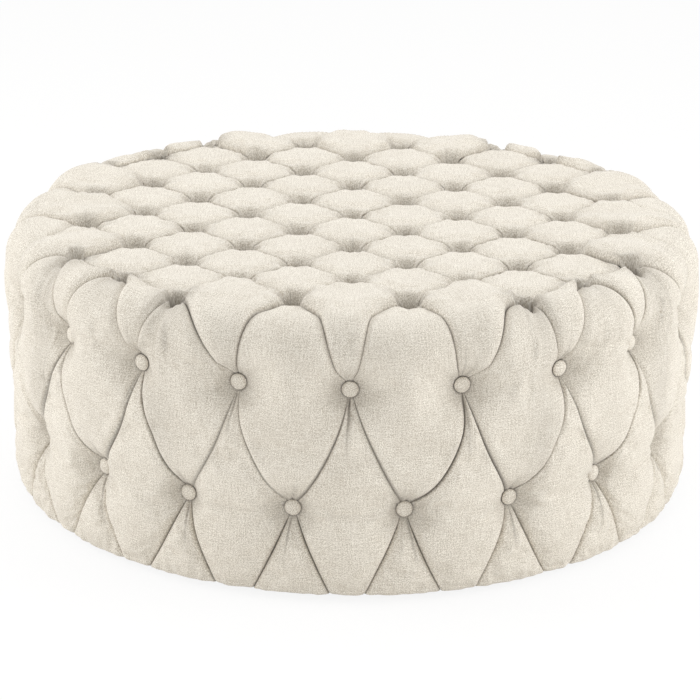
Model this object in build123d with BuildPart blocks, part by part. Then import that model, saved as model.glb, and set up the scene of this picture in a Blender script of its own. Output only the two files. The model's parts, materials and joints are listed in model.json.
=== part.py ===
from build123d import *
from math import atan2, cos, degrees, hypot, pi, radians, sin, sqrt, tan
import os

# A round ottoman, deep button-tufted in fabric over foam and a plywood frame.
# Millimetres, +Z up, origin on the floor under the middle, front towards -Y.
# A bearing is the angle in degrees from the front, towards +X.

# Overall
overall_radius = 508.0          # to the crown of the side tufts
overall_height = 394.0          # floor to the crown of the top tufts
base_level = 10.0               # underside of the turned-in fabric
soft_clearance = 0.3            # between a soft piece and its neighbour
overrun = 5.0                   # how far a cut runs past what it cuts

# Button lattice
lattice_step = 76.7             # half the diagonal of a top diamond
lattice_reach = 5               # rows of buttons each side of the middle
side_count = 20                 # buttons in one row round the side
upper_row_height = 299.0
lower_row_height = 128.0

# Cover and its tufts
skin_radius = 472.0             # where the side buttons sit
top_crown = 45.0                # crown of a top tuft above its buttons
side_crown = overall_radius - skin_radius
rim_round = 20.0                # edge of the skin between side and top
skin_thickness = 4.0
hem_thickness = 1.2
hem_width = 62.0
tuft_sink = 2.5                 # how deep a tuft stands in the skin
pleat_gap = 1.0                 # open slit of a pleat
foot_inset = 4.0                # a tuft's foot is this much narrower each side
base_crest = 24.0               # crown of the side tufts at the bottom edge
base_pleat = 18.0               # height of the pleats at the bottom edge
base_belly = 8.0                # extra swell of the lowest tufts half way down
pleat_share = 0.65              # peak of a pleat as a share of the crown
crest_rise_share = 3.3          # how fast a crown rises from a button
base_pleat_share = 0.69         # where a pleat meets the bottom edge, of half a step
least_bow = 0.001               # a foot flatter than this is a straight line

# Buttons
button_radius = 12.0
button_height = 7.5
button_wall = 2.5               # straight edge below the dome
button_fabric = 0.7
button_shell = 0.6
button_back = 1.0
button_fit = 0.1
boss_radius = 2.2
boss_length = 3.0
well_clearance = 1.0            # round each button, in the cover
cord_hole_radius = 3.0          # in foam, cover, deck and panel
foam_ease = 2.7                 # foam cut back under the rim, where the tufts' feet meet
foam_ease_run = 8.0

# Tufting twine and its washers
twine_radius = 1.0
knot_swell = 2.0
knot_length = 5.0
washer_radius = 5.0
washer_thickness = 2.0
washer_fit = 0.3

# Plywood frame
deck_radius = 453.0
deck_thickness = 12.0
deck_level = 321.0              # top of the deck
base_ring_width = 80.0
base_ring_thickness = 18.0
panel_thickness = 3.0
panel_seam = 1.0
post_count = 8
post_bearing = 4.5              # between the buttons of both rows
post_width = 40.0
post_depth = 30.0
block_leg = 40.0
block_width = 30.0
rail_width = 25.0
rail_height = 40.0
rail_end_gap = 2.0
rail_row = 1.5                  # in lattice steps from the middle
bridge_row = 2.5

# Fasteners
screw_radius = 2.0
screw_head_radius = 4.0
countersink_angle = 82
screw_length = 45.0
rail_screw_length = 40.0
screw_fit = 0.15
post_screw_spacing = 20.0
nail_radius = 1.0
nail_head_radius = 2.4
nail_length = 20.0
nail_rows = 3                   # up each post, two nails in a row
staple_wire = 0.8
staple_crown = 10.0
staple_leg = 8.0
hem_staple_count = 40
hem_staple_radius = 440.0
liner_staple_count = 20
liner_staple_radius = 418.0

# Underside
liner_thickness = 0.6
liner_radius = 448.0
glide_count = 8
glide_radius = 14.0
glide_circle = 428.0
glide_round = 3.0
glide_seat = 3.5                # level of the screw head inside a glide
glide_screw_length = 20.0

# Worked-out levels
skin_level = overall_height - top_crown
skin_inner_radius = skin_radius - skin_thickness
skin_inner_level = skin_level - skin_thickness
rim_centre_radius = skin_radius - rim_round
wall_run = skin_level - rim_round - base_level
rim_run = rim_round * pi / 2
frame_level = base_level + hem_thickness + soft_clearance
deck_underside = deck_level - deck_thickness
base_ring_top = frame_level + base_ring_thickness
panel_radius = deck_radius + panel_thickness
inner_rim_round = skin_inner_level - deck_level
hem_inner_radius = skin_radius - hem_width
side_step = 360 / side_count
well_radius = button_radius + well_clearance
post_face = sqrt((deck_radius - soft_clearance) ** 2 - (post_width / 2) ** 2)
post_middle = post_face - post_depth / 2
post_length = deck_underside - base_ring_top
seam_bearing = 180 + post_bearing
nail_reach = sqrt(panel_radius**2 - (post_screw_spacing / 2 + nail_head_radius) ** 2)
rail_offset = rail_row * lattice_step
bridge_offset = bridge_row * lattice_step
rail_reach = sqrt(deck_radius**2 - (rail_offset + rail_width / 2) ** 2) - rail_end_gap
foam_cut = skin_radius - panel_radius + overrun
side_seat = skin_radius - sqrt(deck_radius**2 - washer_radius**2) + washer_fit
top_seat = skin_level - deck_underside
hem_top = base_level + hem_thickness
liner_top = base_level - staple_wire
liner_underside = liner_top - liner_thickness
liner_leg = staple_leg + base_level - liner_underside
leg_reach = (staple_crown - staple_wire) / 2
leg_slot = staple_wire + 2 * screw_fit
on_base = (Align.CENTER, Align.CENTER, Align.MIN)
below = (Align.CENTER, Align.CENTER, Align.MAX)

os.makedirs("parts", exist_ok=True)


# Places on the frame

def bearing_plane(bearing, reach, level):
    """Plane at a bearing, facing outwards, its X axis along the side and Y up."""
    angle = radians(bearing)
    outward = Vector(sin(angle), -cos(angle), 0)
    along = Vector(cos(angle), sin(angle), 0)
    return Plane(origin=outward * reach + Vector(0, 0, level), x_dir=along, z_dir=outward)


def polar_plane(bearing, reach, level, facing):
    """Level plane at a bearing, facing up (1) or down (-1), its X axis along the side."""
    angle = radians(bearing)
    spot = Vector(reach * sin(angle), -reach * cos(angle), level)
    return Plane(origin=spot, x_dir=(cos(angle), sin(angle), 0), z_dir=(0, 0, facing))


def side_plane(bearing, reach, level):
    """Upright plane along a bearing, its X axis inwards and its Y axis up."""
    angle = radians(bearing)
    spot = Vector(reach * sin(angle), -reach * cos(angle), level)
    return Plane(origin=spot, x_dir=(-sin(angle), cos(angle), 0), z_dir=(cos(angle), sin(angle), 0))


def paired(planes, spacing):
    """Two planes for each one, spread along its X axis."""
    return [
        Plane(plane.origin + plane.x_dir * shift, x_dir=plane.x_dir, z_dir=plane.z_dir)
        for plane in planes
        for shift in (-spacing / 2, spacing / 2)
    ]


lattice_corner = (lattice_reach, lattice_reach)
lattice = [
    (i, j)
    for j in range(-lattice_reach, lattice_reach + 1)
    for i in range(-lattice_reach, lattice_reach + 1)
    if (i + j) % 2 == 0 and (abs(i), abs(j)) != lattice_corner
]
top_wells = [
    Plane(origin=(i * lattice_step, j * lattice_step, skin_level)) for i, j in lattice
]
upper_bearings = [k * side_step for k in range(side_count)]
lower_bearings = [(k + 1 / 2) * side_step for k in range(side_count)]
upper_wells = [bearing_plane(b, skin_radius, upper_row_height) for b in upper_bearings]
lower_wells = [bearing_plane(b, skin_radius, lower_row_height) for b in lower_bearings]
side_wells = upper_wells + lower_wells
post_bearings = [post_bearing + k * 360 / post_count for k in range(post_count)]
glide_bearings = [(k + 1 / 2) * 360 / glide_count for k in range(glide_count)]
hem_staple_planes = [
    polar_plane(k * 360 / hem_staple_count, hem_staple_radius, base_level, 1)
    for k in range(hem_staple_count)
]
liner_staple_planes = [
    polar_plane((k + 1 / 2) * 360 / liner_staple_count, liner_staple_radius, liner_underside, 1)
    for k in range(liner_staple_count)
]
glide_planes = [polar_plane(b, glide_circle, glide_seat, -1) for b in glide_bearings]
deck_screw_planes = paired(
    [polar_plane(b, post_middle, deck_level, 1) for b in post_bearings], post_screw_spacing
)
base_screw_planes = paired(
    [polar_plane(b, post_middle, frame_level, -1) for b in post_bearings], post_screw_spacing
)
nail_planes = paired(
    [
        bearing_plane(b, nail_reach, base_ring_top + post_length * (row + 1 / 2) / nail_rows)
        for b in post_bearings
        for row in range(nail_rows)
    ],
    post_screw_spacing,
)
rail_screw_planes = [
    Plane(origin=(i * lattice_step, side * rail_offset, deck_level))
    for side in (-1, 1)
    for i in range(-lattice_reach, lattice_reach + 1, 2)
] + [Plane(origin=(side * bridge_offset, 0, deck_level)) for side in (-1, 1)]


# Points on the skin: a spot is (bearing, run) round the side and rim, where run is
# the way up from the bottom edge and in over the top, or (x, y) on the flat top.

def skin_tilt(run):
    return max(0.0, min(pi / 2, (run - wall_run) / rim_round))


def skin_point(spot, lift):
    tilt = skin_tilt(spot.Y)
    inward = max(0.0, spot.Y - wall_run - rim_run)
    reach = rim_centre_radius - inward + (rim_round + lift) * cos(tilt)
    level = base_level + min(spot.Y, wall_run) + (rim_round + lift) * sin(tilt)
    angle = radians(spot.X)
    return Vector(reach * sin(angle), -reach * cos(angle), level)


def skin_crown(spot):
    return side_crown + (top_crown - side_crown) * skin_tilt(spot.Y) / (pi / 2)


def flat_point(spot, lift):
    return Vector(spot.X, spot.Y, skin_level + lift)


def flat_crown(spot):
    return top_crown


def lattice_spot(i, j):
    return Vector(i * lattice_step, j * lattice_step)


def rim_spot(i, j):
    """A well of the outer ring of the top as (bearing, run)."""
    bearing = degrees(atan2(i, -j)) % 360
    run = wall_run + rim_run + rim_centre_radius - lattice_step * hypot(i, j)
    return Vector(bearing, run)


# Tufts: each is lofted through sections of three straight lines, or two and a
# shallow arc at the foot, closed by one arc over the crown.

def tuft_section(left, right, pleat, crest, point):
    middle = (left + right) * (1 / 2)
    start, end = point(left, pleat), point(right, pleat)
    across = end - start
    outward = point(middle, crest) - point(middle, 0)
    plane = Plane(
        origin=(start + end) * (1 / 2), x_dir=across, z_dir=across.cross(outward)
    )
    half = (across.length - pleat_gap) / 2
    peak = plane.to_local_coords(point(middle, crest)).Y
    foot_left = plane.to_local_coords(point(left, -tuft_sink))
    foot_right = plane.to_local_coords(point(right, -tuft_sink))
    foot_middle = plane.to_local_coords(point(middle, -tuft_sink)).Y
    inset = pleat_gap / 2 + foot_inset
    foot_left = (foot_left.X + inset, foot_left.Y)
    foot_right = (foot_right.X - inset, foot_right.Y)
    bow = foot_middle - (foot_left[1] + foot_right[1]) / 2
    with BuildSketch(plane) as section:
        with BuildLine():
            ThreePointArc((-half, 0), (0, peak), (half, 0))
            Line((half, 0), foot_right)
            if abs(bow) > least_bow:
                ThreePointArc(foot_right, (0, foot_middle), foot_left)
            else:
                Line(foot_right, foot_left)
            Line(foot_left, (-half, 0))
        make_face()
    return section.sketch.face()


def rising_pleat(share):
    return 4 * pleat_share * share * (1 - share)


def rising_crest(share, drop_share=0):
    return 1 - (1 - share) ** crest_rise_share - drop_share * share**2


wedge_shares = (0.17, 0.5, 1)
rim_wedge_shares = (0.17, 0.36, 0.56, 0.78, 1)
base_wedge_shares = (0.15, 0.5, 1)
base_body_shares = (0, 0.5, 1)
middle_share = 0.5


def tuft_wedge(tip, left, right, shares, point, crown, drop_share=0):
    """Half a diamond from the button at its tip to its widest section, or, where the
    crown drops to a pleat there, a whole triangle."""
    sections = []
    for share in shares:
        start, end = tip + (left - tip) * share, tip + (right - tip) * share
        height = crown((start + end) * (1 / 2))
        pleat = height * rising_pleat(share)
        crest = height * rising_crest(share, drop_share)
        sections.append(tuft_section(start, end, pleat, crest, point))
    with BuildPart() as wedge:
        loft(sections)
    return wedge.part


def base_tuft(left, right, left_end, right_end, shares, crest_at):
    """A stretch of side tuft that runs down to the bottom edge."""
    sections = []
    for share in shares:
        start, end = left + (left_end - left) * share, right + (right_end - right) * share
        pleat = base_pleat * rising_crest(share)
        sections.append(tuft_section(start, end, pleat, crest_at(share), skin_point))
    with BuildPart() as stretch:
        loft(sections)
    return stretch.part


def flat_tuft(i, j):
    """A whole diamond of the top, lofted from one pleat to the pleat opposite."""
    corners = [lattice_spot(*c) for c in ((i - 1, j), (i, j - 1), (i, j + 1), (i + 1, j))]
    side = lattice_step * sqrt(2)
    edge_share = pleat_gap / 2 / side
    sections = []
    for share in (edge_share, middle_share, 1 - edge_share):
        start = corners[0] + (corners[2] - corners[0]) * share
        end = corners[1] + (corners[3] - corners[1]) * share
        pleat = top_crown * rising_pleat(share)
        crest = top_crown * (pleat_share + 4 * (1 - pleat_share) * share * (1 - share))
        sections.append(tuft_section(start, end, pleat, crest, flat_point))
    with BuildPart() as tuft:
        loft(sections)
    return tuft.part


def on_rim(i, j):
    i, j = abs(i), abs(j)
    return max(i, j) == lattice_reach or i + j == 2 * (lattice_reach - 1)


ring = sorted((c for c in lattice if on_rim(*c)), key=lambda c: rim_spot(*c).X)
upper_run = upper_row_height - base_level
lower_run = lower_row_height - base_level

tufts = [
    flat_tuft(i, j)
    for j in range(1 - lattice_reach, lattice_reach)
    for i in range(1 - lattice_reach, lattice_reach)
    if (i + j) % 2
]

# Over the rim: from an upper button to the two nearest wells of the top's outer ring,
# and where these lie two columns or two rows apart, on to the well behind them.
for k in range(side_count):
    here, after = ring[k], ring[(k + 1) % side_count]
    here_spot, after_spot = rim_spot(*here), rim_spot(*after)
    if after_spot.X < here_spot.X:
        after_spot = after_spot + Vector(360, 0)
    upper_spot = Vector((k + 1) * side_step, upper_run)
    whole = here[0] == after[0] or here[1] == after[1]
    drop_share = 0 if whole else 1 - pleat_share
    tufts.append(
        tuft_wedge(
            upper_spot, here_spot, after_spot, rim_wedge_shares, skin_point, skin_crown,
            drop_share,
        )
    )
    if whole:
        middle_i, middle_j = (here[0] + after[0]) / 2, (here[1] + after[1]) / 2
        away = 1 - 1 / lattice_reach
        behind = (middle_i * away, middle_j) if abs(middle_i) > abs(middle_j) else (
            middle_i, middle_j * away
        )
        tufts.append(
            tuft_wedge(
                lattice_spot(*behind), lattice_spot(*here), lattice_spot(*after),
                wedge_shares, flat_point, flat_crown,
            )
        )

# Round the side
for k in range(side_count):
    bearing = k * side_step
    middle = bearing + side_step / 2
    well = rim_spot(*ring[k])
    if well.X - middle > 180:
        well = well - Vector(360, 0)
    left, right = Vector(bearing, upper_run), Vector(bearing + side_step, upper_run)
    low = Vector(middle, lower_run)
    # upper side diamond: from the rim well and from the lower button
    tufts.append(tuft_wedge(well, left, right, rim_wedge_shares, skin_point, skin_crown))
    tufts.append(tuft_wedge(low, left, right, wedge_shares, skin_point, skin_crown))
    # lower side diamond: from the upper button, then down to the bottom edge
    low_left, low_right = low - Vector(side_step, 0), low
    tufts.append(tuft_wedge(left, low_left, low_right, wedge_shares, skin_point, skin_crown))
    spread = base_pleat_share * side_step / 2
    tufts.append(
        base_tuft(
            low_left, low_right,
            Vector(low_left.X + spread, 0), Vector(low_right.X - spread, 0),
            base_body_shares,
            lambda share: side_crown + (base_crest - side_crown) * share**2,
        )
    )
    # lowest tuft, between the two pleats under a lower button
    tufts.append(
        base_tuft(
            low, low, Vector(low.X - spread, 0), Vector(low.X + spread, 0),
            base_wedge_shares,
            lambda share: base_crest * rising_crest(share) + base_belly * 4 * share * (1 - share),
        )
    )

# Pieces that repeat

def dome(radius, straight, height):
    """Outline of a button's outer face, from its rim to its top."""
    Line((radius, 0), (radius, straight))
    TangentArc((0, height), (radius, straight), tangent=(1, 0))


def turned(points):
    """A solid turned from a straight-sided half outline."""
    with BuildPart() as piece:
        with BuildSketch(Plane.XZ):
            with BuildLine():
                Polyline(*points, close=True)
            make_face()
        revolve(axis=Axis.Z)
    return piece.part


def countersunk(length, radius, head_radius):
    """A screw or nail pointing down from its flush head."""
    head_height = (head_radius - radius) / tan(radians(countersink_angle / 2))
    return turned([
        (0, 0), (head_radius, 0), (radius, -head_height), (radius, -length), (0, -length),
    ])


def staple(leg):
    """A staple under the hem, its crown below the local level and its legs up."""
    with BuildPart() as piece:
        Box(staple_crown, staple_wire, staple_wire, align=below)
        with Locations((-leg_reach, 0), (leg_reach, 0)):
            Box(staple_wire, staple_wire, leg, align=on_base)
    return piece.part


def placed(piece, planes, name):
    """One node that holds the piece at every plane, written under its name."""
    with BuildPart() as group:
        with Locations(*planes):
            add(piece)
    write(group.part, name)


def write(piece, name):
    piece.label = name
    export_step(piece, f"parts/{name}.step")


# Cover, with the filling of its tufts

with BuildPart() as well_cutter:
    with Locations((0, 0, -soft_clearance)):
        Cylinder(well_radius, top_crown + overrun, align=on_base)
    Cylinder(cord_hole_radius, skin_thickness + overrun, align=below)

with BuildPart() as tufted_cover:
    with BuildSketch(Plane.XZ):
        with BuildLine():
            Polyline(
                (hem_inner_radius, base_level), (skin_radius, base_level),
                (skin_radius, skin_level - rim_round),
            )
            RadiusArc(
                (skin_radius, skin_level - rim_round), (rim_centre_radius, skin_level),
                -rim_round,
            )
            Polyline(
                (rim_centre_radius, skin_level), (0, skin_level), (0, skin_inner_level),
                (skin_inner_radius - inner_rim_round, skin_inner_level),
            )
            RadiusArc(
                (skin_inner_radius - inner_rim_round, skin_inner_level),
                (skin_inner_radius, deck_level), inner_rim_round,
            )
            Polyline(
                (skin_inner_radius, deck_level), (skin_inner_radius, hem_top),
                (hem_inner_radius, hem_top), (hem_inner_radius, base_level),
            )
        make_face()
    revolve(axis=Axis.Z)
    with Locations(*hem_staple_planes, *liner_staple_planes):
        with Locations((-leg_reach, 0), (leg_reach, 0)):
            Box(leg_slot, leg_slot, hem_top, mode=Mode.SUBTRACT)
    with Locations(*glide_planes):
        Hole(screw_radius + screw_fit, depth=hem_top)
    add(tufts, clean=False)
    with Locations(*top_wells, *side_wells):
        add(well_cutter.part, mode=Mode.SUBTRACT)
write(tufted_cover.part, "tufted_cover")

# Foam

with BuildPart() as top_foam:
    with BuildSketch(Plane.XZ):
        foam_top = skin_inner_level - soft_clearance
        foam_reach = skin_inner_radius - soft_clearance - foam_ease
        shoulder = skin_inner_radius - inner_rim_round
        with BuildLine():
            Line((0, foam_top), (shoulder, foam_top))
            RadiusArc(
                (shoulder, foam_top), (foam_reach, deck_level),
                inner_rim_round - soft_clearance,
            )
            Polyline((foam_reach, deck_level), (0, deck_level), (0, foam_top))
        make_face()
    revolve(axis=Axis.Z)
    with Locations(*top_wells):
        Hole(cord_hole_radius)
write(top_foam.part, "top_foam")

with BuildPart() as side_foam:
    with BuildSketch(Plane.XZ):
        foam_inner = panel_radius + soft_clearance
        foam_outer = skin_inner_radius - soft_clearance
        foam_end = deck_level - soft_clearance
        with BuildLine():
            Polyline(
                (foam_inner, frame_level), (foam_outer, frame_level),
                (foam_outer, foam_end - 2 * foam_ease_run),
                (foam_outer - foam_ease, foam_end - foam_ease_run),
                (foam_outer - foam_ease, foam_end), (foam_inner, foam_end), close=True,
            )
        make_face()
    revolve(axis=Axis.Z)
    with Locations(*side_wells):
        Cylinder(cord_hole_radius, foam_cut, align=below, mode=Mode.SUBTRACT)
write(side_foam.part, "side_foam")

# Frame

with BuildPart() as top_deck:
    with BuildSketch(Plane.XY.offset(deck_underside)):
        Circle(deck_radius)
    extrude(amount=deck_thickness)
    with Locations(*top_wells):
        Hole(cord_hole_radius)
    with Locations(*deck_screw_planes, *rail_screw_planes):
        CounterSinkHole(
            screw_radius + screw_fit, screw_head_radius + screw_fit, depth=screw_length,
            counter_sink_angle=countersink_angle,
        )
write(top_deck.part, "top_deck")

with BuildPart() as base_ring:
    with BuildSketch(Plane.XY.offset(frame_level)):
        Circle(deck_radius)
        Circle(deck_radius - base_ring_width, mode=Mode.SUBTRACT)
    extrude(amount=base_ring_thickness)
    with Locations(*base_screw_planes):
        CounterSinkHole(
            screw_radius + screw_fit, screw_head_radius + screw_fit, depth=screw_length,
            counter_sink_angle=countersink_angle,
        )
    with Locations(*glide_planes):
        Hole(screw_radius + screw_fit, depth=glide_screw_length + overrun)
    for planes, leg in ((hem_staple_planes, staple_leg), (liner_staple_planes, liner_leg)):
        with Locations(*planes):
            with Locations((-leg_reach, 0), (leg_reach, 0)):
                Box(leg_slot, leg_slot, leg + screw_fit, align=on_base, mode=Mode.SUBTRACT)
write(base_ring.part, "base_ring")

with BuildPart() as posts:
    with BuildSketch(*[polar_plane(b, post_middle, base_ring_top, 1) for b in post_bearings]):
        Rectangle(post_width, post_depth)
    extrude(amount=post_length)
    with Locations(*deck_screw_planes, *base_screw_planes):
        Hole(screw_radius + screw_fit, depth=screw_length + overrun)
    with Locations(*nail_planes):
        Hole(nail_radius + screw_fit, depth=nail_length + overrun)
write(posts.part, "posts")

with BuildPart() as side_panel:
    with BuildSketch(Plane.XY.offset(frame_level)):
        Circle(panel_radius)
        Circle(deck_radius, mode=Mode.SUBTRACT)
    extrude(amount=deck_level - frame_level)
    with Locations(*side_wells):
        Cylinder(cord_hole_radius, side_seat + overrun, align=below, mode=Mode.SUBTRACT)
    with Locations(*nail_planes):
        CounterSinkHole(
            nail_radius + screw_fit, nail_head_radius + screw_fit, depth=nail_length,
            counter_sink_angle=countersink_angle,
        )
    with Locations(bearing_plane(seam_bearing, panel_radius, frame_level)):
        Box(panel_seam, 2 * deck_level, 2 * panel_thickness + overrun, mode=Mode.SUBTRACT)
write(side_panel.part, "side_panel")

with BuildPart() as deck_rails:
    for side in (-1, 1):
        with BuildSketch(Plane.XY.offset(deck_underside)):
            with Locations((0, side * rail_offset)):
                Rectangle(2 * rail_reach, rail_width)
        extrude(amount=-rail_height)
    with Locations(*rail_screw_planes):
        Hole(screw_radius + screw_fit, depth=rail_screw_length + overrun)
write(deck_rails.part, "deck_rails")

with BuildPart() as bridge_rails:
    with BuildSketch(Plane.XY.offset(deck_underside)):
        with Locations((-bridge_offset, 0), (bridge_offset, 0)):
            Rectangle(rail_width, 2 * rail_offset - rail_width)
    extrude(amount=-rail_height)
    with Locations(*rail_screw_planes):
        Hole(screw_radius + screw_fit, depth=rail_screw_length + overrun)
write(bridge_rails.part, "bridge_rails")

for name, level, drop in (
    ("upper_corner_blocks", deck_underside, -1), ("lower_corner_blocks", base_ring_top, 1),
):
    with BuildPart() as blocks:
        with BuildSketch(*[side_plane(b, post_face - post_depth, level) for b in post_bearings]):
            with BuildLine():
                Polyline((0, 0), (block_leg, 0), (0, drop * block_leg), close=True)
            make_face()
        extrude(amount=block_width / 2, both=True)
    write(blocks.part, name)

# Underside

with BuildPart() as dust_liner:
    with BuildSketch(Plane.XY.offset(liner_underside)):
        Circle(liner_radius)
    extrude(amount=liner_thickness)
    with Locations(*glide_planes):
        Hole(screw_radius + screw_fit, depth=hem_top)
    with Locations(*liner_staple_planes):
        with Locations((-leg_reach, 0), (leg_reach, 0)):
            Box(leg_slot, leg_slot, hem_top, mode=Mode.SUBTRACT)
write(dust_liner.part, "dust_liner")

with BuildPart() as glide:
    Cylinder(glide_radius, liner_underside, align=on_base)
    fillet(glide.edges().sort_by(Axis.Z)[0], radius=glide_round)
    with Locations(Plane.XY.rotated((180, 0, 0))):
        Hole(screw_head_radius + screw_fit, depth=glide_seat)
    with Locations(Plane.XY.offset(glide_seat).rotated((180, 0, 0))):
        CounterSinkHole(
            screw_radius + screw_fit, screw_head_radius + screw_fit, depth=liner_underside,
            counter_sink_angle=countersink_angle,
        )
placed(glide.part, [polar_plane(b, glide_circle, 0, 1) for b in glide_bearings], "glides")

# Fasteners

wood_screw = countersunk(screw_length, screw_radius, screw_head_radius)
rail_screw = countersunk(rail_screw_length, screw_radius, screw_head_radius)
glide_screw = countersunk(glide_screw_length, screw_radius, screw_head_radius)
panel_nail = countersunk(nail_length, nail_radius, nail_head_radius)
placed(wood_screw, deck_screw_planes, "deck_screws")
placed(wood_screw, base_screw_planes, "base_screws")
placed(rail_screw, rail_screw_planes, "rail_screws")
placed(glide_screw, glide_planes, "glide_screws")
placed(panel_nail, nail_planes, "panel_nails")
placed(staple(staple_leg), hem_staple_planes, "hem_staples")
placed(staple(liner_leg), liner_staple_planes, "liner_staples")

# Covered buttons and their twines

fabric_inner = button_radius - button_fabric
shell_outer = fabric_inner - button_fit
shell_inner = shell_outer - button_shell
back_reach = shell_inner - button_fit

with BuildPart() as button_cover:
    with BuildSketch(Plane.XZ):
        with BuildLine():
            dome(button_radius, button_wall, button_height)
            dome(fabric_inner, button_wall, button_height - button_fabric)
            Line((fabric_inner, 0), (button_radius, 0))
            Line((0, button_height - button_fabric), (0, button_height))
        make_face()
    revolve(axis=Axis.Z)

with BuildPart() as button_cap:
    with BuildSketch(Plane.XZ):
        cap_height = button_height - button_fabric - button_fit
        with BuildLine():
            dome(shell_outer, button_wall, cap_height)
            dome(shell_inner, button_wall, cap_height - button_shell)
            Line((shell_inner, 0), (shell_outer, 0))
            Line((0, cap_height - button_shell), (0, cap_height))
        make_face()
    revolve(axis=Axis.Z)

button_plate = turned([
    (0, button_back), (back_reach, button_back), (back_reach, 0),
    (boss_radius, 0), (boss_radius, -boss_length), (0, -boss_length),
])


def twine(seat):
    """Twine from a button's boss, through the washer at the seat, to its knot."""
    knot = -seat - washer_thickness
    knot_radius = twine_radius + knot_swell
    return turned([
        (0, -boss_length), (twine_radius, -boss_length), (twine_radius, knot),
        (knot_radius, knot), (knot_radius, knot - knot_length), (0, knot - knot_length),
    ])


def washer(seat):
    hole = twine_radius + washer_fit
    return turned([
        (hole, -seat), (washer_radius, -seat),
        (washer_radius, -seat - washer_thickness), (hole, -seat - washer_thickness),
    ])


for row, wells, seat in (
    ("top", top_wells, top_seat), ("upper", upper_wells, side_seat),
    ("lower", lower_wells, side_seat),
):
    placed(button_cover.part, wells, f"{row}_button_covers")
    placed(button_cap.part, wells, f"{row}_button_caps")
    placed(button_plate, wells, f"{row}_button_backs")
    placed(twine(seat), wells, f"{row}_twines")
    placed(washer(seat), wells, f"{row}_twine_washers")
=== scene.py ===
import json
import math
import bmesh
import bpy
import numpy as np
from mathutils import Matrix, Vector
from mathutils.kdtree import KDTree


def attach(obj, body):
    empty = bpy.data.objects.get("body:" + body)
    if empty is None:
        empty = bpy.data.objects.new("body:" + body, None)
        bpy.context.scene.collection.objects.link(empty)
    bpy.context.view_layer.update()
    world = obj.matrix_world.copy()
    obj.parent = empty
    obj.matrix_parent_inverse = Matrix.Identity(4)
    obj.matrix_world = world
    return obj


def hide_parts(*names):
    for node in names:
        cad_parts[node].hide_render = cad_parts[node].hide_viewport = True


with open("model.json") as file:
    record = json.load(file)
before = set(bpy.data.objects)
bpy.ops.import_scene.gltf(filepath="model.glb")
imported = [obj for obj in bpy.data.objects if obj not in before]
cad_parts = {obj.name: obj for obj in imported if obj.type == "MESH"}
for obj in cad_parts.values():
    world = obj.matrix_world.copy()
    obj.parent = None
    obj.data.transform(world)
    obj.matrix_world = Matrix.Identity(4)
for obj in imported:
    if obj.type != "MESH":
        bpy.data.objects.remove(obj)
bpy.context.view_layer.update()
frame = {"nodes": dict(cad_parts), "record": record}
print("frame loaded:", len(frame["nodes"]), "nodes")

# Shapes are worked out in millimetres and turned into metres when a mesh is made.
# A bearing is the angle from the front (-Y) towards +X.

viewpoint = {
    "place": (0.0, -3.5562, 1.4720),  # metres
    "downTilt": 19.95, "turn": 0.02, "roll": 0.8, "lens": 130.0,
}


def newObject(name, data):
    # an object with this data, in the scene
    item = bpy.data.objects.new(name, data)
    bpy.context.scene.collection.objects.link(item)
    return item


def makeCamera(settings):
    # camera turned about its own axis, then tilted, then turned about the vertical
    data = bpy.data.cameras.new("photoCamera")
    data.lens = settings["lens"]
    camera = newObject("photoCamera", data)
    turns = (settings["turn"], "Z"), (90 - settings["downTilt"], "X"), (settings["roll"], "Z")
    turn, tilt, roll = (Matrix.Rotation(math.radians(angle), 4, axis) for angle, axis in turns)
    camera.matrix_world = Matrix.Translation(settings["place"]) @ turn @ tilt @ roll
    bpy.context.scene.camera = camera


makeCamera(viewpoint)
print("camera made")


# The skin that the buttons are pulled down to, unrolled onto a flat chart

skin = {
    "radius": 472.0,  # wall
    "level": 349.0,  # flat top
    "edgeRound": 20.0,  # between the two
    "bottom": 10.0,
    "fullRadius": 503.0,  # to the crown of the side tufts, before the cloth swells
    "fullHeight": 393.0,  # to the crown of the top tufts
    "shoulderRound": 46.0,  # of the crowns between the two
    "bottomCrown": 24.0,  # crown above the skin at the bottom edge
}
edgeRound = skin["edgeRound"]
flatReach = skin["radius"] - edgeRound
wallStart = flatReach + edgeRound * math.pi / 2
wallEnd = wallStart + skin["level"] - edgeRound - skin["bottom"]

lattice = {
    "step": 76.7,  # from a button of the top to the next row, across and along
    "reach": 5,  # rows on each side of the middle
    "edgeFrom": 430.0,  # wells of the top beyond this lie by the edge
    "around": 20, "upperHeight": 299.0, "lowerHeight": 128.0,
}
around = lattice["around"]
arc = 2 * np.pi * skin["radius"] / around


def wallDistance(height):
    # distance from the middle, measured along the skin, of a height on the wall
    return wallStart + skin["level"] - edgeRound - height


def toChart(along, distance):
    # chart x, y of a place on the side: along is bearing times the wall's radius
    bearing = along / skin["radius"]
    return np.stack([distance * np.sin(bearing), -distance * np.cos(bearing)], -1)


def toSide(chart, middle):
    # the reverse, with bearings taken nearest to the middle one
    bearing = np.arctan2(chart[..., 0], -chart[..., 1])
    bearing = middle + (bearing - middle + np.pi) % (2 * np.pi) - np.pi
    return np.stack([bearing * skin["radius"], np.hypot(chart[..., 0], chart[..., 1])], -1)


def slopeAt(distance):
    # sine and cosine of the skin's tilt: level, then a quarter circle, then upright
    tilt = np.clip((distance - flatReach) / edgeRound, 0, np.pi / 2)
    return np.sin(tilt), np.cos(tilt)


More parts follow.
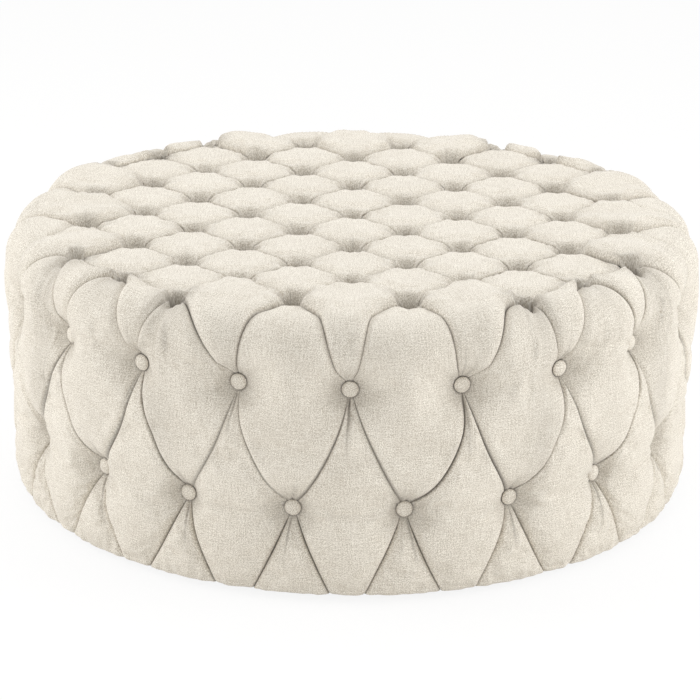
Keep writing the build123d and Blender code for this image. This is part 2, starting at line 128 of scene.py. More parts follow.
def onSkin(chart):
    # point and normal of the skin: flat, then a quarter circle, then a straight wall
    distance = np.hypot(chart[..., 0], chart[..., 1])
    safe = np.maximum(distance, 1e-9)
    outX, outY = chart[..., 0] / safe, chart[..., 1] / safe
    out, up = slopeAt(distance)
    reach = np.minimum(distance, flatReach) + edgeRound * out
    drop = edgeRound * (1 - up) + np.maximum(distance - wallStart, 0)
    point = np.stack([outX * reach, outY * reach, skin["level"] - drop], -1)
    return point, np.stack([outX * out, outY * out, up], -1), distance


def crownAt(distance):
    # height over the skin: from the centre of its edge round along the normal to a flat top,
    # a wall or the quarter circle between them, less that round; below the lower buttons it
    # turns into the bottom crown by the share down, squared
    out, up = slopeAt(distance)
    wide = skin["fullRadius"] - flatReach
    tall = skin["fullHeight"] - skin["level"] + edgeRound
    cornerOut, cornerUp = wide - skin["shoulderRound"], tall - skin["shoulderRound"]
    middle = cornerOut * out + cornerUp * up
    corner = middle + np.sqrt(skin["shoulderRound"] ** 2 - cornerOut**2 - cornerUp**2 + middle**2)
    onTop, onWall = cornerOut * up >= tall * out, cornerUp * out >= wide * up
    least = 0.1  # keeps the branch that is not taken finite
    away = np.where(onWall, wide / np.maximum(out, least), corner)
    away = np.where(onTop, tall / np.maximum(up, least), away)
    low = wallDistance(lattice["lowerHeight"])
    fall = fadeOver(distance, low, wallEnd - low)
    sideCrown = skin["fullRadius"] - skin["radius"]
    return away - edgeRound + (skin["bottomCrown"] - sideCrown) * fall**2


# Wells, where the buttons sit

def makeWells():
    # chart place of every well, by name: a lattice on the top, two even rows round the side
    wells = {}
    reach, step = lattice["reach"], lattice["step"]
    for j in range(-reach, reach + 1):
        for i in range(-reach, reach + 1):
            if (i + j) % 2 == 0 and (abs(i), abs(j)) != (reach, reach):
                wells["top", i, j] = np.array([i * step, j * step], float)
    for k in range(around):
        wells["upper", k] = toChart(k * arc, wallDistance(lattice["upperHeight"]))
        wells["lower", k] = toChart((k + 0.5) * arc, wallDistance(lattice["lowerHeight"]))
    return wells


wells = makeWells()
topWells = [name for name in wells if name[0] == "top"]
rimWells = {name for name in topWells if np.hypot(*wells[name]) > lattice["edgeFrom"]}


def wellFrame(name):
    # origin on the skin and axes of a well: outward is the skin's normal there
    origin, outward, _ = onSkin(wells[name])
    up = np.array([0, 1.0, 0] if name[0] == "top" else [0, 0, 1.0])
    return origin, np.cross(up, outward), up, outward


# Pleats between wells

pleatLook = {
    "topShare": 0.9,  # height of a pleat's middle, of the crown
    "sideShare": 0.86,
    "shareFade": 60.0,  # how far beyond the flat top the one turns into the other
    "topRise": 23.0,  # how far from a well a pleat reaches that height
    "rimRise": 12.0,  # the same at the wells by the edge
    "sideRise": 66.0,
    "bottomHeight": 18.0,  # where a pleat meets the bottom edge
    "bottomSpread": 0.69,  # of half the distance between buttons
    "bottomChance": 0.12, "bottomBow": (0, 5), "grooveDepth": 4.5,
    "overWidth": 0.45,  # of the groove, on the lapped side
    "underWidth": 1.2,  # and on the side that it laps over
    "lapHeight": 1.2, "lapReach": 3.0, "lineWidth": 0.7,
    "leastStrength": 0.4,  # of the groove and its dark line; the most is 1
    "shoulderBow": (2.0, 18.0),  # over the edge, away from the side tuft, least and most
    "shoulderSkew": (-1.3, 0.0),  # below 0 the bow lies nearer to the side button
    "petalBow": (4.0, 20.0),  # between the two rows of side buttons
    # the ones seen at the front, by place and 0 for left, 1 for right
    "frontShoulders": {
        (18, 1): 12.0, (19, 0): 9.0, (19, 1): 3.0, (0, 0): 17.0, (0, 1): 2.0, (1, 0): 14.0,
    },
    "frontPetals": {(19, 0): 15.0, (19, 1): 11.0, (0, 0): 4.0, (0, 1): 24.0},
    "frontSkews": {19: -1.5, 0: 0.0, 1: 0.5},
    "buttonEdge": 10.0,  # the cloth lies flat this near to a well
    "pieces": 40,  # straight ones that a pleat is measured with
}
rng = np.random.default_rng(12)  # for all chance values below
gridCount = 44  # squares along each side of a patch
stepsAlong = np.linspace(0, 1, gridCount + 1)


def finerSteps(evenShare, ends):
    # 0 to 1: even steps by their share, the rest a cosine that is fine at one or both ends
    curve = 1 - np.cos(np.pi / 2 * ends * stepsAlong)
    return (1 - evenShare) * curve / ends + evenShare * stepsAlong


graded = finerSteps(0.15, 2)
oneEnded = finerSteps(0.25, 1)
fromBelt = 1 - oneEnded[::-1]


def fadeOver(value, start, length):
    # 0 up to the start, 1 from start + length on, straight in between
    return np.clip((value - start) / length, 0, 1)


def eased(share):
    # rise from 0 to 1 that slows down: 1 - (1 - share)^2.2
    return 1 - (1 - share) ** 2.2


class Pleat:
    # a line between two wells, or, with no rises, from a well to the bottom edge; drawn on
    # the chart when it has no middle bearing, else on the unrolled side
    def __init__(self, start, end, bow, middle, rises=None, skew=0.0):
        self.flat, self.rises = middle is None, rises
        self.start, self.end = (start, end) if self.flat else (toSide(p, middle) for p in (start, end))
        run = self.end - self.start
        self.across = np.array([-run[1], run[0]]) / np.hypot(*run)
        self.bow, self.skew = bow, skew
        self.over = rng.choice([-1, 1])  # which side laps over the other
        self.strength = rng.uniform(pleatLook["leastStrength"], 1)
        self.samples = self.chart(np.linspace(0, 1, pleatLook["pieces"] + 1))
        self.points = onSkin(self.samples)[0]

    def own(self, t):
        # straight line plus bow * 4t(1 - t) * (1 + skew * (1 - 2t)) across it
        t = np.asarray(t)[..., None]
        bow = self.bow * 4 * t * (1 - t) * (1 + self.skew * (1 - 2 * t))
        return self.start + (self.end - self.start) * t + self.across * bow

    def chart(self, t):
        # the same line, always on the chart
        line = self.own(t)
        return line if self.flat else toChart(line[..., 0], line[..., 1])

    def nearest(self, points):
        # distance to its nearest place, and share along it, over all straight pieces
        a, b = self.points[:-1], self.points[1:]
        run = b - a
        rel = points[:, None, :] - a[None]
        s = np.clip((rel * run).sum(-1) / (run * run).sum(-1), 0, 1)
        gap = np.linalg.norm(rel - s[..., None] * run[None], axis=-1)
        best = gap.argmin(1)
        rows = np.arange(len(points))
        return gap[rows, best], (best + s[rows, best]) / len(a)

    def height(self, t):
        # share * crown * eased rise from one end * eased rise from the other,
        # or the height at the bottom edge * eased rise
        length = np.linalg.norm(np.diff(self.points, axis=0), axis=1).sum()
        edge = pleatLook["buttonEdge"]
        if self.rises is None:
            return pleatLook["bottomHeight"] * eased(fadeOver(t * length, edge, length - edge))
        distance = onSkin(self.chart(t))[2]
        side = fadeOver(distance, flatReach, pleatLook["shareFade"])
        share = pleatLook["topShare"] + (pleatLook["sideShare"] - pleatLook["topShare"]) * side
        height = share * crownAt(distance)
        for far, rise in ((t * length, self.rises[0]), ((1 - t) * length, self.rises[1])):
            height *= eased(fadeOver(far, edge, min(rise, length) - edge))
        return height


pleats = {}


def riseAt(name, look):
    # how far from a well the height grows, by the well's kind
    if name[0] != "top":
        return look["sideRise"]
    return look["rimRise"] if name in rimWells else look["topRise"]


def pleatBetween(a, b, bow=0.0, middle=None, skew=0.0):
    # the pleat of these two wells, made when it is first asked for
    if (a, b) not in pleats:
        rises = riseAt(a, pleatLook), riseAt(b, pleatLook)
        pleats[a, b] = Pleat(wells[a], wells[b], bow, middle, rises, skew)
    return pleats[a, b]


def madePleat(a, b):
    # the pleat that two wells already have, and whether it starts at the first
    return (pleats[a, b], True) if (a, b) in pleats else (pleats[b, a], False)


# Tufts

tuftLook = {
    "topRound": 40.0,  # how far in from its pleats a tuft is rounded
    "sideRound": 36.0,
    "sideFrom": 420.0, "sideFade": 60.0,  # where the top's values turn into the side's
    "narrowing": 0.55,  # of the rounding towards a button
    "topRise": 22.0,  # how far from a button a tuft reaches its full height
    "rimRise": 10.0,
    "sideRise": 66.0,
    "frontRise": 30.0,  # side tufts at top buttons that are not by the edge
    # how much higher the tufts over the edge stand, and where that ends
    "edgeLift": 11.0, "edgeLiftEnd": 495.0, "edgeLiftFade": 45.0,
    "leanReach": 30.0,  # tufts lean in over the wells by the edge
    "heightSpread": 0.03,
    "detailFade": 3.0,  # of wrinkles and folds, from a pleat
    # wrinkles round a button, gathers above the bottom edge
    "wrinkle": 0.75, "wrinkleAway": 19.0, "wrinkleReach": 13.0, "edgeGather": 1.4, "gatherReach": 20.0,
    "edgeTurn": 7.0,  # radius of the turned-in bottom edge
    "hemReach": 412.0, "hemSteps": 6,
    "hemCloth": 480.0,  # cloth used by a hem that reaches the middle
}
# painted shade in the cloth's colour: dark gaps round buttons, softer shade in dimples and pleats
shadeLook = {
    "gapReach": 13.1, "gapPower": 8, "lineFade": 12.0, "leastLine": 0.3,
    "topDimple": 0.68, "sideDimple": -0.26, "dimpleReach": 24.0, "sideReach": 8.0,
    "pleat": 0.26, "pleatReach": 8.0, "fold": 0.85,
}
# short folds at the buttons: degrees from their line, length, depth, with a bend or none
foldLook = {
    "upperDown": ((-11, 11), (65, 100), (2.6, 4.2), True),
    "upperUp": ((-24, 24), (26, 52), (0.9, 1.9), False),
    "upperAside": ((-30, 10), (25, 40), (0.8, 1.6), False),
    "lowerUp": ((-9, 9), (35, 60), (1.8, 3.0), True),
    "lowerDown": ((3, 13), (45, 85), (2.4, 4.0), True),
    "lowerAside": ((22, 34), (30, 50), (1.0, 1.8), False),
    "top": ((0, 360), (28, 46), (0.7, 1.5), False),
}
foldShape = {
    "bend": 8.0, "from": 8.0, "fadeIn": 10.0, "fadeOut": 0.8,
    "width": 1.1, "spread": 1.7,  # at the button, and how much wider at its end
    # cloth pushed up beside it, of the fold's depth and in its widths
    "ridge": 0.5, "ridgeAside": 2.4, "ridgeWidth": 1.9,
}


def makeRipple(counts):
    # sum of sines round a circle with set counts and chance phases
    phases = rng.uniform(0, 2 * np.pi, len(counts))
    sizes = rng.uniform(0.6, 1.0, len(counts)) / len(counts) ** 0.5
    return lambda angle: sum(s * np.sin(c * angle + p) for c, p, s in zip(counts, phases, sizes))


wellRipple = {name: makeRipple((7, 11, 13, 17)) for name in wells}
edgeRipple = makeRipple((53, 71, 97, 131, 173))


def drawFold(kind, line, way=1):
    # (angle, length, depth, bend): the angle is its line's plus way * a chance one
    angles, lengths, depths, bends = foldLook[kind]
    angle = line + way * rng.uniform(*angles)
    return angle, rng.uniform(*lengths), rng.uniform(*depths), rng.uniform(-1, 1) if bends else 0.0


def foldsOf(name):
    # the folds of one button; angles in degrees, 0 to the right and 90 up
    up, down = 90, -90
    if name[0] == "upper":
        folds = [drawFold("upperDown", down) for _ in range(rng.integers(1, 3))]
        folds += [drawFold("upperUp", up) for _ in range(rng.integers(2, 5))]
        if rng.random() < 0.5:
            folds.append(drawFold("upperAside", rng.choice([0, 180])))
        return folds
    if name[0] == "lower":
        folds = [drawFold("lowerUp", up)]
        way = rng.choice([-1, 1])
        folds.append(drawFold("lowerDown", down, way))
        if rng.random() < 0.6:
            folds.append(drawFold("lowerAside", down, -way))
        return folds
    outermost = math.hypot(name[1], name[2]) > 4.9
    count = rng.integers(4, 8) if outermost else rng.integers(1, 4)
    return [drawFold("top", 0) for _ in range(count)]


wellFolds = {name: foldsOf(name) for name in wells}


def wellDetail(name, points):
    # wrinkles of size exp(-x^2) about their distance from the button, and folds: a groove
    # exp(-x^2) across their line with a ridge of the same form beside it
    origin, across, up, _ = wellFrame(name)
    rel = points - origin
    x, y = rel @ across, rel @ up
    away, angle = np.hypot(x, y), np.arctan2(y, x)
    ring = ((away - tuftLook["wrinkleAway"]) / tuftLook["wrinkleReach"]) ** 2
    height = tuftLook["wrinkle"] * np.exp(-ring) * wellRipple[name](angle)
    crease = np.zeros(len(points))
    shape = foldShape
    for turn, length, depth, bend in wellFolds[name]:
        direction = math.radians(turn)
        along = x * math.cos(direction) + y * math.sin(direction)
        side = y * math.cos(direction) - x * math.sin(direction)
        side -= bend * shape["bend"] * (along / length) ** 2
        fade = fadeOver(along, shape["from"], shape["fadeIn"])
        fade *= np.clip(1 - along / length, 0, 1) ** shape["fadeOut"]
        width = shape["width"] + shape["spread"] * np.clip(along / length, 0, 1)
        cut = np.exp(-((side / width) ** 2)) * fade
        ridge = ((side - shape["ridgeAside"] * width) / (shape["ridgeWidth"] * width)) ** 2
        height -= depth * cut
        height += shape["ridge"] * depth * np.exp(-ridge) * fade
        # painted shade along the fold's groove
        crease = np.maximum(crease, shadeLook["fold"] * cut)
    return height, crease, away


def leanIn(skinPoint, normal):
    # turns the normal upright near the wells by the edge, by exp(-(distance / reach)^2)
    share = np.zeros(len(skinPoint))
    for name in rimWells:
        away = np.linalg.norm(skinPoint - onSkin(wells[name])[0], axis=1)
        share = np.maximum(share, np.exp(-((away / tuftLook["leanReach"]) ** 2)))
    leaning = normal * (1 - share[:, None]) + np.array([0, 0, 1.0]) * share[:, None]
    return leaning / np.linalg.norm(leaning, axis=1)[:, None]


def tuftSurface(chart, borders, corners, lift, kind):
    # height = pleat + (crest - pleat) * quarter circle of the share of the rounding from the
    # nearest pleat; crest = crown * the least of the eased rises from the corners. Pleats mix
    # by 1 / distance^2. Then come laps, grooves, wrinkles, folds and the bottom edge.
    look, seam, shade = tuftLook, pleatLook, shadeLook
    skinPoint, normal, distance = onSkin(chart)
    side = fadeOver(distance, look["sideFrom"], look["sideFade"])
    gaps, pleatHeights, groove, lap, line = [], [], 0, 0, 0
    centre = skinPoint.mean(0)
    for pleat in borders:
        gap, t = pleat.nearest(skinPoint)
        gaps.append(gap + 1e-4)
        pleatHeights.append(pleat.height(t))
        half = seam["pieces"] // 2
        mid = pleat.points[half]
        run = pleat.points[-1] - pleat.points[0]
        outward = onSkin(pleat.samples[half : half + 1])[1][0]
        facing = np.cross(mid - pleat.points[0] + run, centre - mid) @ outward
        isOver = np.sign(facing) == pleat.over
        width = seam["overWidth"] if isOver else seam["underWidth"]
        groove = np.maximum(groove, pleat.strength * np.exp(-gap / width))
        # painted shade: a dark line along the pleat
        line = np.maximum(line, pleat.strength**0.5 * np.exp(-gap / seam["lineWidth"]))
        if isOver:
            x = gap / seam["lapReach"]
            lap = np.maximum(lap, x * np.exp(1 - x))
    gaps, pleatHeights = np.array(gaps), np.array(pleatHeights)
    weights = gaps**-2.0
    base = (weights * pleatHeights).sum(0) / weights.sum(0)
    near = (gaps**-4.0).sum(0) ** -0.25

    crest = crownAt(distance) * lift
    if kind == "edge":
        before = np.clip((look["edgeLiftEnd"] - distance) / look["edgeLiftFade"], 0, 1)
        crest += look["edgeLift"] * before
    detail, crease, rises = np.zeros(len(chart)), np.zeros(len(chart)), 1 - len(corners)
    nearestWell = np.full(len(chart), 1e9)
    for name in corners:
        more, fold, away = wellDetail(name, skinPoint)
        reach = riseAt(name, tuftLook)
        if kind == "side" and name[0] == "top" and name not in rimWells:
            reach = look["frontRise"]
        rise = eased(fadeOver(away, seam["buttonEdge"], reach))
        rises += np.maximum(rise, 1e-3) ** -4.0
        detail += more
        crease = np.maximum(crease, fold)
        nearestWell = np.minimum(nearestWell, away)
    crest *= rises**-0.25
    full = look["topRound"] + (look["sideRound"] - look["topRound"]) * side
    rounding = full * nearestWell / (nearestWell + full / look["narrowing"]) + 0.5
    x = np.clip(near / rounding, 0, 1)
    height = base + (np.maximum(crest, base) - base) * np.sqrt(1 - (1 - x) ** 2)

    outer = fadeOver(nearestWell, 9, 14)
    height += outer * (seam["lapHeight"] * lap - seam["grooveDepth"] * groove)
    height += detail * np.clip(near / look["detailFade"], 0, 1)
    bearing = np.arctan2(chart[:, 0], -chart[:, 1])
    fromEdge = wallEnd - distance
    gather = look["edgeGather"] * np.exp(-fromEdge / look["gatherReach"])
    height += gather * edgeRipple(bearing)
    # the bottom edge turns in along a quarter circle
    turn = look["edgeTurn"]
    q = np.clip(fromEdge / turn, 0, 1)
    height -= turn * (1 - np.sqrt(np.clip(1 - (1 - q) ** 2, 0, 1)))
    point = skinPoint + leanIn(skinPoint, normal) * height[:, None]

    # where the simulation leaves the cloth alone: pleats, buttons and the bottom edge
    held = np.maximum(1 - fadeOver(near, 2, 5), 1 - fadeOver(nearestWell, 15, 8))
    held = np.maximum(held, 1 - fadeOver(fromEdge, 3, 6))
    # painted shade: dark in the pleats, round each button and, softly, down in its dimple
    atWell = nearestWell / (shade["dimpleReach"] + shade["sideReach"] * side)
    return point, np.maximum.reduce([
        crease,
        line * np.clip(nearestWell / shade["lineFade"], shade["leastLine"], 1),
        np.exp(-((nearestWell / shade["gapReach"]) ** shade["gapPower"])),
        (shade["topDimple"] + shade["sideDimple"] * side) * np.exp(-(atWell**2)),
        shade["pleat"] * (1 - side) * np.exp(-((near / shade["pleatReach"]) ** 2)),
    ]), held


def patchGrid(bottom, right, top, left, steps):
    # Coons patch: the sum of the two blends of facing sides less the blend of the corners
    u, v = graded[None, :, None], steps[:, None, None]
    grid = (1 - v) * bottom[None] + v * top[None] + (1 - u) * left[:, None] + u * right[:, None]
    corners = (1 - u) * (1 - v) * bottom[0] + u * (1 - v) * bottom[-1]
    corners = corners + (1 - u) * v * top[0] + u * v * top[-1]
    return grid - corners


# the crease values of the patches are painted shade
patches = []  # (points, crease, held, cloth coordinates), each on a grid
charts = []  # the same grids' places on the chart


def addPatch(lines, borders, corners, lift, middle=None, steps=graded, kind=""):
    # a tuft or a part of one between its bottom, right, top and left lines; cloth coordinates
    # are the grid's, with the way over the edge as long as it is on the crowns
    grid = patchGrid(*lines, steps)
    chart = grid
    if middle is not None:
        chart = toChart(grid[..., 0], grid[..., 1])
        stretch = (edgeRound + skin["fullHeight"] - skin["level"]) / edgeRound - 1
        over = np.clip(grid[..., 1] - flatReach, 0, edgeRound * math.pi / 2)
        grid = np.stack([grid[..., 0], grid[..., 1] + stretch * over], -1)
    values = tuftSurface(chart.reshape(-1, 2), borders, corners, lift, kind)
    point, crease, held = (part.reshape(chart.shape[:2] + part.shape[1:]) for part in values)
    patches.append((point, crease, held, grid))
    charts.append(chart)


def bowOf(kind, place):
    # chance bow, or the one seen from the front
    bow = rng.uniform(*pleatLook[kind + "Bow"])
    return pleatLook["front" + kind.capitalize() + "s"].get(place, bow)


def skewOf(k):
    # chance skew, or the one seen from the front
    skew = rng.uniform(*pleatLook["shoulderSkew"])
    return pleatLook["frontSkews"].get(k, skew)


def liftOf():
    # factor of a tuft's height, by chance
    return 1 + tuftLook["heightSpread"] * rng.uniform(-1, 1)


# flat diamonds of the top
reach = lattice["reach"]
for j in range(1 - reach, reach):
    for i in range(1 - reach, reach):
        if (i + j) % 2:
            low, right = ("top", i, j - 1), ("top", i + 1, j)
            high, left = ("top", i, j + 1), ("top", i - 1, j)
            ends = ((low, right), (right, high), (left, high), (low, left))
            borders = [pleatBetween(*pair) for pair in ends]
            lines = [pleat.own(graded) for pleat in borders]
            addPatch(lines, borders, (low, right, high, left), liftOf())
print("top tufts", len(patches))

# ring of the top's outer wells, by bearing: outer rows and cut corners
steps = {name: (abs(name[1]), abs(name[2])) for name in topWells}
ring = [name for name, away in steps.items() if max(away) == reach or sum(away) == 2 * (reach - 1)]
ring.sort(key=lambda name: math.atan2(name[1], -name[2]) % (2 * math.pi))


def placeOf(k):
    # middle bearing of a side tuft and its wells: top, upper left and right, lower
    bearing = 2 * np.pi * k / around + np.pi / around
    return bearing, ring[k], ("upper", k), ("upper", (k + 1) % around), ("lower", k)


# pleats of the side, with bows that point away from the middle of the side tuft
shoulder = {}
petal = {}
for k in range(around):
    middle, well, *uppers, low = placeOf(k)
    sides = tuple(zip((0, 1), uppers, (1, -1)))
    for side, upper, away in sides:
        bow = away * bowOf("shoulder", (k, side))
        shoulder[k, side] = pleatBetween(well, upper, bow, middle, skewOf(k))
    for side, upper, away in sides:
        petal[k, side] = pleatBetween(upper, low, away * bowOf("petal", (k, side)), middle)

for k in range(around):
    middle, *corners = placeOf(k)
    borders = [shoulder[k, 0], shoulder[k, 1], petal[k, 0], petal[k, 1]]
    lines = (
        shoulder[k, 1].own(graded), petal[k, 1].own(oneEnded),
        petal[k, 0].own(oneEnded), shoulder[k, 0].own(graded),
    )
    addPatch(lines, borders, corners, liftOf(), middle, kind="side")
print("with upper side tufts", len(patches))


def inSide(pleat, middle, reverse=False, steps=graded):
    # a pleat's line on the unrolled side, with bearings nearest to the middle one
    return toSide(pleat.chart(1 - steps if reverse else steps), middle)


def tipAt(name, middle):
    # a line with no length, at a well
    return np.repeat(toSide(wells[name], middle)[None], gridCount + 1, 0)


# tufts over the edge: whole diamonds, halves at the cut corners
for k in range(around):
    here, after = ring[k], ring[(k + 1) % around]
    upper = ("upper", (k + 1) % around)
    middle = 2 * np.pi * (k + 1) / around
    toHere, toAfter = shoulder[k, 1], shoulder[(k + 1) % around, 0]
    if here[1] == after[1] or here[2] == after[2]:
        between = (here[1] + after[1]) // 2, (here[2] + after[2]) // 2
        behind = ("top", *(v - int(np.sign(v)) if abs(v) == reach else v for v in between))
        (left, leftAway), (right, rightAway) = madePleat(behind, here), madePleat(behind, after)
        borders, corners = [toHere, toAfter, left, right], (here, after, behind, upper)
        first, third = inSide(toAfter, middle, True), inSide(left, middle, not leftAway)
        second = inSide(right, middle, rightAway)
    else:
        far, fromHere = madePleat(here, after)
        borders, corners = [toHere, toAfter, far], (here, after, upper)
        first = tipAt(upper, middle)
        second, third = inSide(toAfter, middle, True), inSide(far, middle, not fromHere)
    lines = (first, second, third, inSide(toHere, middle, True))
    addPatch(lines, borders, corners, liftOf(), middle, kind="edge")
print("with edge tufts", len(patches))

# lower side tufts and the lowest ones, with pleats that run to the bottom edge
spread = pleatLook["bottomSpread"] * arc / 2
basePleat = {}
for k in range(around):
    middle = placeOf(k)[0]
    for side in (-1, 1):
        shift = spread * (1 + pleatLook["bottomChance"] * rng.uniform(-1, 1))
        foot = toChart(middle * skin["radius"] + side * shift, np.array(wallEnd))
        bow = side * rng.uniform(*pleatLook["bottomBow"])
        basePleat[k, side] = Pleat(wells["lower", k], foot, bow, middle)


def acrossTo(left, right):
    # straight line from one end to the other
    return left + (right - left) * graded[:, None]


bottomRuns = []


def addBottom(start, rightPleat, leftPleat, borders, corners, lift, middle):
    # the part of a tuft between two pleats that run to the bottom edge
    right, left = (inSide(pleat, middle, steps=fromBelt) for pleat in (rightPleat, leftPleat))
    addPatch((start, right, acrossTo(left[-1], right[-1]), left), borders, corners, lift, middle, fromBelt)
    bottomRuns.append(len(patches) - 1)


for k in range(around):
    middle = 2 * np.pi * k / around
    upper, lowLeft, lowRight = ("upper", k), ("lower", (k - 1) % around), ("lower", k)
    toLeft, toRight = petal[(k - 1) % around, 1], petal[k, 0]
    downLeft, downRight = basePleat[(k - 1) % around, 1], basePleat[k, -1]
    borders, corners = [toLeft, toRight, downLeft, downRight], (upper, lowLeft, lowRight)
    lift = liftOf()
    belt = acrossTo(toSide(wells[lowLeft], middle), toSide(wells[lowRight], middle))
    right, left = (inSide(pleat, middle, steps=oneEnded) for pleat in (toRight, toLeft))
    addPatch((tipAt(upper, middle), right, belt, left), borders, corners, lift, middle, oneEnded)
    addBottom(belt, downRight, downLeft, borders, corners, lift, middle)
    # the lowest tuft under the lower button
    middle, left, right = placeOf(k)[0], basePleat[k, -1], basePleat[k, 1]
    addBottom(tipAt(lowRight, middle), right, left, [left, right], (lowRight,), liftOf(), middle)


def treeOf(places):
    # search tree of these places
    tree = KDTree(len(places))
    for index, place in enumerate(places):
        tree.insert(place, index)
    tree.balance()
    return tree


def closeSeams(reach=0.05):
    # border points at one place of the chart, within the reach, all move to their mean
    edges = []
    for chart in charts:
        edge = np.zeros(chart.shape[:2], bool)
        edge[[0, -1]], edge[:, [0, -1]] = True, True
        edges.append(edge)
    places = np.concatenate([chart[edge] for chart, edge in zip(charts, edges)])
    places = np.pad(places, ((0, 0), (0, 1)))
    points = np.concatenate([part[0][edge] for part, edge in zip(patches, edges)])
    tree = treeOf(places)
    near = [[index for _, index, _ in tree.find_range(place, reach)] for place in places]
    mean = np.array([points[same].mean(0) for same in near])
    start = 0
    for part, edge in zip(patches, edges):
        part[0][edge] = mean[start : start + edge.sum()]
        start += edge.sum()


closeSeams()

# the cloth turned in under the bottom edge, drawn to a circle
hemRows = tuftLook["hemSteps"] + 1
for index in bottomRuns:
    edge, crease, _, grid = (part[-1] for part in patches[index])
    inward = np.linspace(0, 1, hemRows)[:, None, None]
    reachNow = np.hypot(edge[:, 0], edge[:, 1])[None, :, None]
    scale = 1 + (tuftLook["hemReach"] / reachNow - 1) * inward
    under = edge[None] * scale
    under[..., 2] = edge[None, :, 2]
    along = np.repeat(grid[None, :, 0], hemRows, 0)
    cloth = np.stack([along, grid[None, :, 1] + (1 - scale[..., 0]) * tuftLook["hemCloth"]], -1)
    # the painted crease shade fades out across the hem
    fading = np.repeat(crease[None], hemRows, 0) * (1 - inward[..., 0])
    patches.append((under, fading, np.ones(under.shape[:2]), cloth))
print("patches", len(patches))


def meshOfPatches(name, parts, keepHeld=False):
    # every grid's points in one mesh, its squares as faces, then shared borders merged
    faces, offset = [], 0
    for part in parts:
        ids = offset + np.arange(part[1].size).reshape(part[1].shape)
        corners = ids[:-1, :-1], ids[:-1, 1:], ids[1:, 1:], ids[1:, :-1]
        faces.append(np.stack(corners, -1).reshape(-1, 4))
        offset += part[1].size
    points, creases, helds, cloth = (
        np.concatenate([part[k].reshape((-1,) + part[k].shape[2:]) for part in parts]) for k in range(4)
    )
    faces = np.concatenate(faces)
    mesh = bpy.data.meshes.new(name)
    mesh.vertices.add(len(points))
    mesh.vertices.foreach_set("co", (points / 1000).astype(np.float32).ravel())
    mesh.loops.add(faces.size)
    mesh.loops.foreach_set("vertex_index", faces.astype(np.int32).ravel())
    mesh.polygons.add(len(faces))
    mesh.polygons.foreach_set("loop_start", np.arange(0, faces.size, 4, dtype=np.int32))
    mesh.update(calc_edges=True)
    uv = mesh.uv_layers.new(name="cloth")
    uv.data.foreach_set("uv", cloth[faces.ravel()].astype(np.float32).ravel())
    # the crease values, painted shade, go to the material as an attribute
    for label, values in (("crease", creases), ("held", helds)):
        mark = mesh.attributes.new(label, "FLOAT", "POINT")
        mark.data.foreach_set("value", values.astype(np.float32))
    work = bmesh.new()
    work.from_mesh(mesh)
    bmesh.ops.remove_doubles(work, verts=work.verts, dist=2e-5)
    bmesh.ops.recalc_face_normals(work, faces=work.faces)
    highest = max(work.faces, key=lambda f: f.calc_center_median().z)
    if highest.normal.z < 0:
        bmesh.ops.reverse_faces(work, faces=work.faces)
    openEdges = sum(1 for e in work.edges if len(e.link_faces) == 1)
    work.to_mesh(mesh)
    work.free()
    mesh.polygons.foreach_set("use_smooth", np.ones(len(mesh.polygons), bool))
    mesh.update()
    if not keepHeld:
        mesh.attributes.remove(mesh.attributes["held"])
    piece = newObject(name, mesh)
    print(name, len(mesh.vertices), "points", len(mesh.polygons), "faces", openEdges, "open edges")
    return piece


clothLook = {
    "frames": 14,
    "cap": 0.006,  # longest step of a point, in metres
    # the cloth is larger than its place by minus shrink_min
    "settings": {
        "quality": 4, "mass": 0.3, "use_pressure": True, "uniform_pressure_force": 4.0,
        "tension_stiffness": 12.0, "compression_stiffness": 8.0, "shear_stiffness": 6.0,
        "bending_stiffness": 0.6, "vertex_group_mass": "held", "pin_stiffness": 1.0, "shrink_min": -0.03,
    },
}


def relaxCloth(piece, look):
    # larger cloth, blown up from inside and held at its pleats: gives each point's start
    # and its step, cut to the cap
    mesh = piece.data
    count = len(mesh.vertices)
    held, start, moved = (np.empty(count * size, np.float32) for size in (1, 3, 3))
    mesh.attributes["held"].data.foreach_get("value", held)
    mesh.vertices.foreach_get("co", start)
    group = piece.vertex_groups.new(name="held")
    levels = 10
    for level in range(1, levels + 1):
        inside = np.nonzero(np.round(held * levels) == level)[0]
        group.add([int(i) for i in inside], level / levels, "REPLACE")
    cloth = piece.modifiers.new("cloth", "CLOTH")
    for key, value in look["settings"].items():
        setattr(cloth.settings, key, value)
    cloth.settings.effector_weights.gravity = 0.0
    cloth.collision_settings.use_collision = False
    cloth.point_cache.frame_end = look["frames"]
    scene = bpy.context.scene
    for step in range(1, look["frames"] + 1):
        scene.frame_set(step)
    result = piece.evaluated_get(bpy.context.evaluated_depsgraph_get())
    result.data.vertices.foreach_get("co", moved)
    piece.modifiers.remove(cloth)
    scene.frame_set(1)
    start, step = start.reshape(-1, 3), (moved - start).reshape(-1, 3)
    length = np.linalg.norm(step, axis=1)
    print("cloth moved, mm:", np.percentile(length * 1000, (50, 90, 99)).round(2))
    return start, step * np.minimum(1, look["cap"] / np.maximum(length, 1e-9))[:, None]


def doubled(values):
    # twice the rows: each new one (9 * (both neighbours) - (the next two)) / 16
    last = len(values) - 1
    index = np.arange(last)
    between = 9 * (values[index] + values[index + 1])
    between = (between - values[np.maximum(index - 1, 0)] - values[np.minimum(index + 2, last)]) / 16
    result = np.empty((2 * last + 1,) + values.shape[1:])
    result[::2], result[1::2] = values, between
    return result


